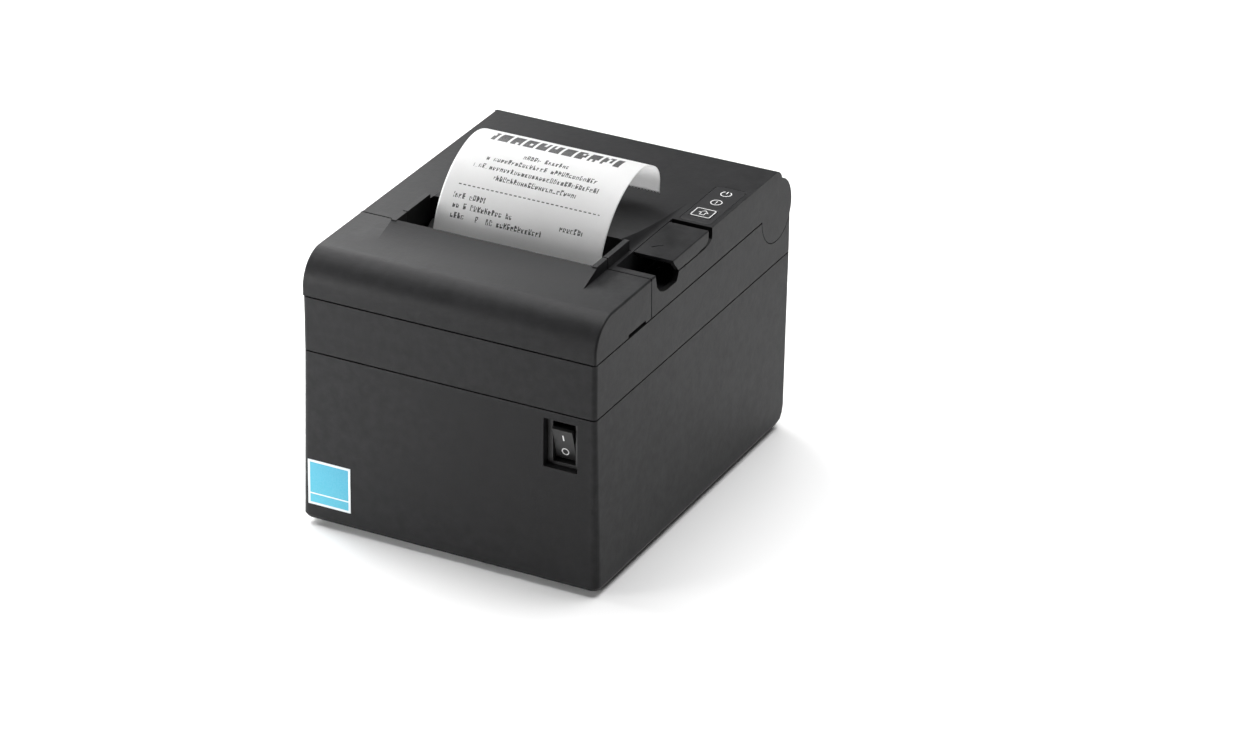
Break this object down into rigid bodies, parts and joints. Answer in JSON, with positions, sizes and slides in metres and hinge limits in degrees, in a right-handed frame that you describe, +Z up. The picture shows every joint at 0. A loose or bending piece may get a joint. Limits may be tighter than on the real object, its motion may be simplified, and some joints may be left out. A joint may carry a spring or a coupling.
{
  "type": "thermal receipt printer",
  "caption": "Desktop thermal receipt printer, boxy charcoal casing, hinged paper cover with a drop-in roll, automatic cutter and a curling blank-style receipt.",
  "frame": {"origin": "bottom centre of the box around the printer, on the plane of the rubber feet", "axes": "+Z up, -Y towards the front with the power switch, +X to the right seen from the front"},
  "size_m": [0.1416, 0.1831, 0.1497],
  "materials": {
    "casing": "fine-grained charcoal",
    "inner_plastic": "smooth dark",
    "panel": "smooth dark",
    "feet": "matt",
    "screw_steel": "satin",
    "sheet_steel": "zinc plated",
    "shaft_steel": "ground",
    "spring_steel": "bright",
    "blade_steel": "hardened, ground",
    "motor_can": "satin",
    "brass": "satin",
    "gear_plastic": "smooth natural",
    "heatsink": "satin",
    "ceramic": "glazed",
    "platen_rubber": "ground",
    "bush_plastic": "smooth",
    "paper": "smooth thermal paper",
    "core_board": "grey-brown paper tube",
    "circuit_board": "solder resist",
    "components": "moulded",
    "socket_metal": "tin plated",
    "socket_plastic": "smooth",
    "rocker_plastic": "smooth",
    "light_plastic": "frosted",
    "label_print": "printed film"
  },
  "bodies": {
    "chassis": {"lower_case": "casing", "bottom_cover": "inner_plastic", "bottom_screws": "screw_steel", "rubber_feet": "feet", "middle_case": "casing", "front_cover": "casing", "mechanism_frame": "sheet_steel", "frame_screws": "screw_steel", "feed_motor": "motor_can", "gear_studs": "shaft_steel", "head_shaft": "shaft_steel", "head_springs": "spring_steel", "cutter_frame": "inner_plastic", "cutter_motor": "motor_can", "paper_bucket": "inner_plastic", "paper_web": "paper", "near_end_bracket": "inner_plastic", "main_board": "circuit_board", "board_components": "components", "io_plate": "sheet_steel", "power_inlet": "socket_plastic", "usb_socket": "socket_metal", "network_socket": "socket_metal", "drawer_socket": "socket_plastic", "switch_body": "socket_plastic", "rocker_pin": "shaft_steel", "front_label": "label_print", "hinge_pins": "shaft_steel", "latch_pin": "shaft_steel"},
    "lid": {"lid": "casing", "platen_carrier": "inner_plastic", "platen_bushes": "bush_plastic", "fixed_blade": "blade_steel", "blade_screws": "screw_steel", "lever_pin": "shaft_steel", "lever_spring": "spring_steel", "control_panel": "panel", "panel_board": "circuit_board", "light_pipes": "light_plastic", "receipt": "paper"},
    "platen": {"platen_roller": "platen_rubber", "platen_shaft": "shaft_steel", "platen_gear": "gear_plastic"},
    "idler": {"idler_gear": "gear_plastic"},
    "reduction": {"reduction_gear": "gear_plastic"},
    "feed_pinion": {"motor_pinion": "brass"},
    "print_head": {"print_head_heatsink": "heatsink", "print_head_board": "ceramic"},
    "blade": {"moving_blade": "blade_steel"},
    "blade_shaft": {"cutter_shaft": "shaft_steel", "cutter_gear": "gear_plastic"},
    "blade_pinion": {"cutter_motor_pinion": "brass"},
    "roll": {"paper_roll": "paper", "roll_core": "core_board"},
    "near_end": {"near_end_lever": "gear_plastic"},
    "lever": {"open_lever": "casing"},
    "button": {"feed_button": "panel"},
    "rocker": {"power_rocker": "rocker_plastic"}
  },
  "joints": [
    {"name": "lid_hinge", "type": "hinge", "parent": "chassis", "child": "lid", "pos_m": [0, 0.0771, 0.1074], "axis": [-1, 0, 0], "range_deg": [0, 85]},
    {"name": "open_lever", "type": "hinge", "parent": "lid", "child": "lever", "pos_m": [0, 0.0095, 0.116], "axis": [-1, 0, 0], "range_deg": [0, 18], "stiffness_Nm_per_rad": 0.05, "springref_deg": -17.19},
    {"name": "feed_button", "type": "slide", "parent": "lid", "child": "button", "axis": [0, 0, -1], "range_m": [0, 0.0006], "stiffness_N_per_m": 300, "springref_m": -0.002},
    {"name": "platen_spin", "type": "hinge", "parent": "lid", "child": "platen", "pos_m": [0, -0.02515, 0.106], "axis": [1, 0, 0], "continuous": true},
    {"name": "idler_spin", "type": "hinge", "parent": "chassis", "child": "idler", "pos_m": [0, -0.02661, 0.08926], "axis": [1, 0, 0], "continuous": true},
    {"name": "reduction_spin", "type": "hinge", "parent": "chassis", "child": "reduction", "pos_m": [0, -0.04049, 0.08541], "axis": [1, 0, 0], "continuous": true},
    {"name": "feed_pinion_spin", "type": "hinge", "parent": "chassis", "child": "feed_pinion", "pos_m": [0, -0.059, 0.0905], "axis": [1, 0, 0], "continuous": true},
    {"name": "roll_spin", "type": "hinge", "parent": "chassis", "child": "roll", "pos_m": [0, 0.024, 0.0513], "axis": [1, 0, 0], "continuous": true},
    {"name": "head_pivot", "type": "hinge", "parent": "chassis", "child": "print_head", "pos_m": [0, -0.0405, 0.093], "axis": [1, 0, 0], "range_deg": [0, 4], "stiffness_Nm_per_rad": 0.5, "springref_deg": -11.46, "deforming": ["head_springs"]},
    {"name": "blade_slide", "type": "slide", "parent": "chassis", "child": "blade", "axis": [0, 1, 0], "range_m": [0, 0.009]},
    {"name": "blade_shaft_spin", "type": "hinge", "parent": "chassis", "child": "blade_shaft", "pos_m": [0, -0.056, 0.1102], "axis": [-1, 0, 0], "range_deg": [0, 129]},
    {"name": "blade_pinion_spin", "type": "hinge", "parent": "chassis", "child": "blade_pinion", "pos_m": [0, -0.06364, 0.10256], "axis": [1, 0, 0], "range_deg": [0, 336]},
    {"name": "near_end_lever", "type": "hinge", "parent": "chassis", "child": "near_end", "pos_m": [0.0466, 0.034, 0.0263], "axis": [0, 0, 1], "range_deg": [0, 12], "stiffness_Nm_per_rad": 0.002, "springref_deg": -17.19},
    {"name": "power_rocker", "type": "hinge", "parent": "chassis", "child": "rocker", "pos_m": [0, -0.0835, 0.0666], "axis": [-1, 0, 0], "range_deg": [0, 24]}
  ],
  "couplings": [
    {"joint": "idler_spin", "follows": "platen_spin", "ratio": -0.90909},
    {"joint": "reduction_spin", "follows": "platen_spin", "ratio": 1.4286},
    {"joint": "feed_pinion_spin", "follows": "platen_spin", "ratio": -4.2857},
    {"joint": "roll_spin", "follows": "platen_spin", "ratio": 0.21429},
    {"joint": "blade_shaft_spin", "follows": "blade_slide", "rad_per_m": 250},
    {"joint": "blade_pinion_spin", "follows": "blade_slide", "rad_per_m": 650}
  ]
}
